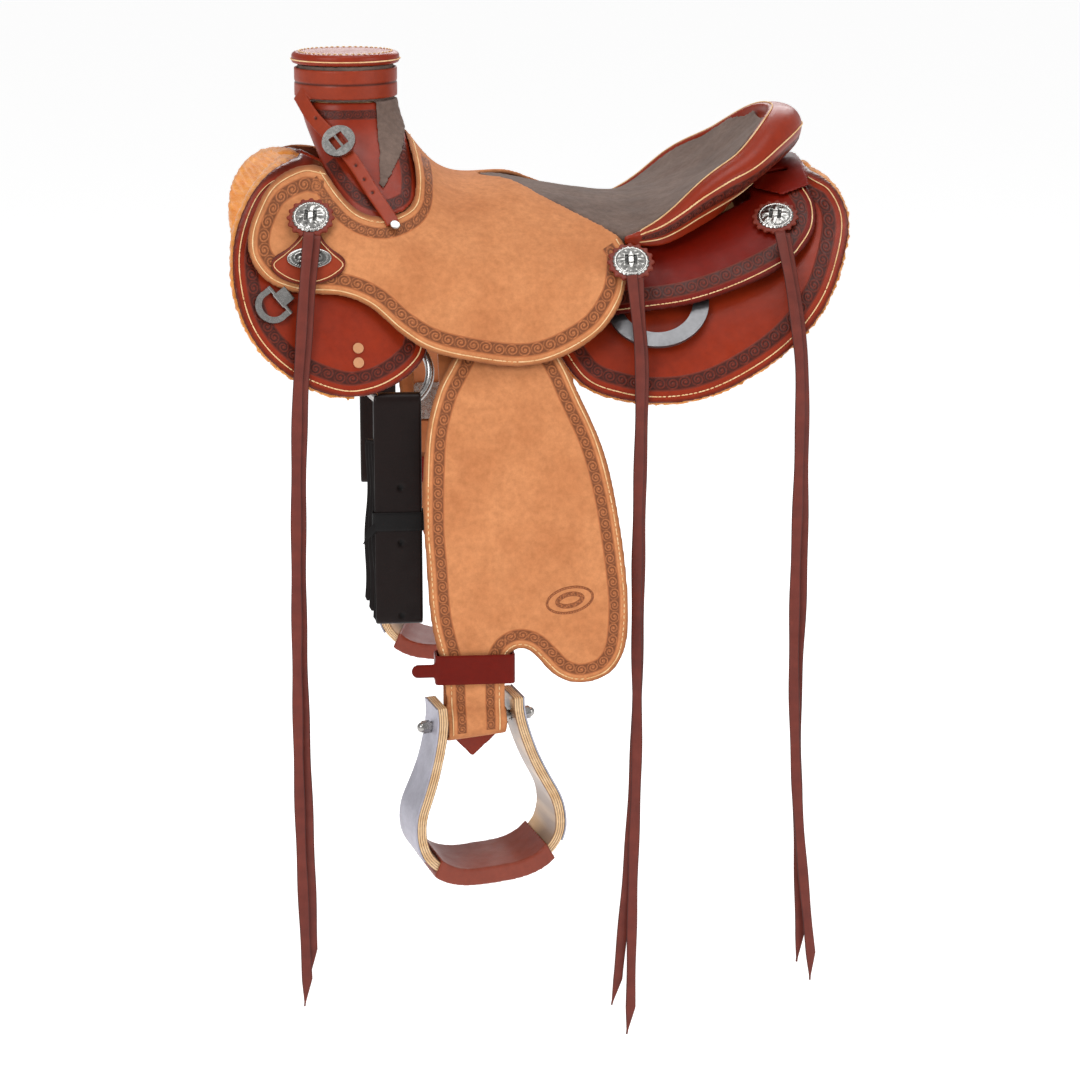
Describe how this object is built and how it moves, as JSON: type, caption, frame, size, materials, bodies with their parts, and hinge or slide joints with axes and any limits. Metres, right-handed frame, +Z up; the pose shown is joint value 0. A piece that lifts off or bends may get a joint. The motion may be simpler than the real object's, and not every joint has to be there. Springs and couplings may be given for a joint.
{
  "type": "western saddle",
  "caption": "Western stock saddle with a post horn, rough-out seat and fenders, tooled skirts, hanging stirrups, rigging hardware and long saddle strings.",
  "frame": {"origin": "where the middle of the seat would touch the top of the horse's back", "axes": "+Z up, -X towards the horn and the horse's head, -Y towards the near (left) side"},
  "size_m": [0.6562, 0.6114, 1.043],
  "materials": {
    "bare_wood": "raw wood",
    "ground_seat": "raw leather",
    "chestnut_leather": "oiled and polished",
    "tan_roughout": "rough side out, nap",
    "grey_suede": "textured suede",
    "strap_leather": "smooth",
    "black_leather": "smooth",
    "string_leather": "latigo leather",
    "latigo_leather": "oiled",
    "stirrup_leather": "smooth",
    "fleece": "woolly pile",
    "steel": "satin stainless",
    "silver": "engraved and polished",
    "stirrup_metal": "matt sheet",
    "laminated_wood": "varnished",
    "tread_leather": "smooth"
  },
  "bodies": {
    "saddle": {"tree_bars": "bare_wood", "tree_fork": "bare_wood", "cantle_board": "bare_wood", "ground_seat": "ground_seat", "fork_cover": "chestnut_leather", "horn_cap": "chestnut_leather", "horn_wrap": "grey_suede", "horn_strap": "strap_leather", "horn_strap_buckle": "steel", "horn_strap_screw": "steel", "skirt_left": "chestnut_leather", "skirt_right": "chestnut_leather", "fleece_left": "fleece", "fleece_right": "fleece", "seat_pad": "grey_suede", "cantle_roll": "chestnut_leather", "seat_jockey": "tan_roughout", "rear_jockey_left": "chestnut_leather", "rear_jockey_right": "chestnut_leather", "rear_jockey_plate": "chestnut_leather", "conchos": "silver", "rosettes": "silver", "latigo_keeper": "chestnut_leather", "keeper_plate": "silver", "rigging_rings": "steel", "rigging_tabs": "strap_leather", "skirt_rivets": "steel", "breast_dee_loops": "strap_leather", "rear_dee_tabs": "black_leather", "string_front_a": "string_leather", "string_front_b": "string_leather", "string_mid_a": "string_leather", "string_mid_b": "string_leather", "string_rear_a": "string_leather", "string_rear_b": "string_leather"},
    "near_latigo": {"latigo": "latigo_leather", "latigo_tie": "black_leather"},
    "off_billet": {"off_billet": "latigo_leather"},
    "near_fender": {"fender_left": "tan_roughout", "stirrup_leather_left": "stirrup_leather", "hobble_strap_left": "strap_leather", "leather_buckle_left": "steel"},
    "off_fender": {"fender_right": "tan_roughout", "stirrup_leather_right": "stirrup_leather", "hobble_strap_right": "strap_leather", "leather_buckle_right": "steel"},
    "near_buckle_sleeve": {"buckle_sleeve_left": "steel"},
    "off_buckle_sleeve": {"buckle_sleeve_right": "steel"},
    "near_stirrup": {"stirrup_frame_left": "laminated_wood", "stirrup_cover_left": "stirrup_metal", "stirrup_tread_left": "tread_leather", "stirrup_bolt_left": "steel"},
    "off_stirrup": {"stirrup_frame_right": "laminated_wood", "stirrup_cover_right": "stirrup_metal", "stirrup_tread_right": "tread_leather", "stirrup_bolt_right": "steel"},
    "near_breast_dee": {"breast_dee_left": "steel"},
    "off_breast_dee": {"breast_dee_right": "steel"},
    "near_rear_dee": {"rear_dee_left": "steel"},
    "off_rear_dee": {"rear_dee_right": "steel"}
  },
  "joints": [
    {"name": "near_fender_swing", "type": "hinge", "parent": "saddle", "child": "near_fender", "pos_m": [-0.052, -0.187, -0.03], "axis": [0, -0.9397, 0.342], "range_deg": [-6, 6]},
    {"name": "off_fender_swing", "type": "hinge", "parent": "saddle", "child": "off_fender", "pos_m": [-0.052, 0.187, -0.03], "axis": [0, -0.9397, -0.342], "range_deg": [-6, 6]},
    {"name": "near_stirrup_swing", "type": "hinge", "parent": "near_fender", "child": "near_stirrup", "pos_m": [-0.092, -0.2544, -0.449], "axis": [0.9798, 0.1905, 0.061], "range_deg": [-50, 30]},
    {"name": "off_stirrup_swing", "type": "hinge", "parent": "off_fender", "child": "off_stirrup", "pos_m": [-0.092, 0.2544, -0.349], "axis": [0.9798, -0.1905, 0.061], "range_deg": [-30, 50]},
    {"name": "near_buckle_sleeve_slide", "type": "slide", "parent": "near_fender", "child": "near_buckle_sleeve", "axis": [0, 0, 1], "range_m": [0, 0.04]},
    {"name": "off_buckle_sleeve_slide", "type": "slide", "parent": "off_fender", "child": "off_buckle_sleeve", "axis": [0, 0, 1], "range_m": [0, 0.04]},
    {"name": "near_latigo_swing", "type": "hinge", "parent": "saddle", "child": "near_latigo", "pos_m": [-0.17, -0.20776, -0.084], "axis": [0.1334, -0.9109, 0.3906], "range_deg": [0, 12]},
    {"name": "off_billet_swing", "type": "hinge", "parent": "saddle", "child": "off_billet", "pos_m": [-0.17, 0.20776, -0.084], "axis": [0.1334, 0.9109, 0.3906], "range_deg": [-12, 0]},
    {"name": "near_breast_dee_swing", "type": "hinge", "parent": "saddle", "child": "near_breast_dee", "pos_m": [-0.28824, -0.21345, -0.0071], "axis": [-0.6353, 0.2014, 0.7456], "range_deg": [0, 75]},
    {"name": "off_breast_dee_swing", "type": "hinge", "parent": "saddle", "child": "off_breast_dee", "pos_m": [-0.28824, 0.21345, -0.0071], "axis": [0.6353, 0.2014, -0.7456], "range_deg": [0, 75]},
    {"name": "near_rear_dee_swing", "type": "hinge", "parent": "saddle", "child": "near_rear_dee", "pos_m": [0.10636, -0.17251, -0.02108], "axis": [-0.9897, -0.0127, -0.1424], "range_deg": [0, 4]},
    {"name": "off_rear_dee_swing", "type": "hinge", "parent": "saddle", "child": "off_rear_dee", "pos_m": [0.10636, 0.17251, -0.02108], "axis": [0.9897, -0.0127, 0.1424], "range_deg": [0, 12]}
  ]
}
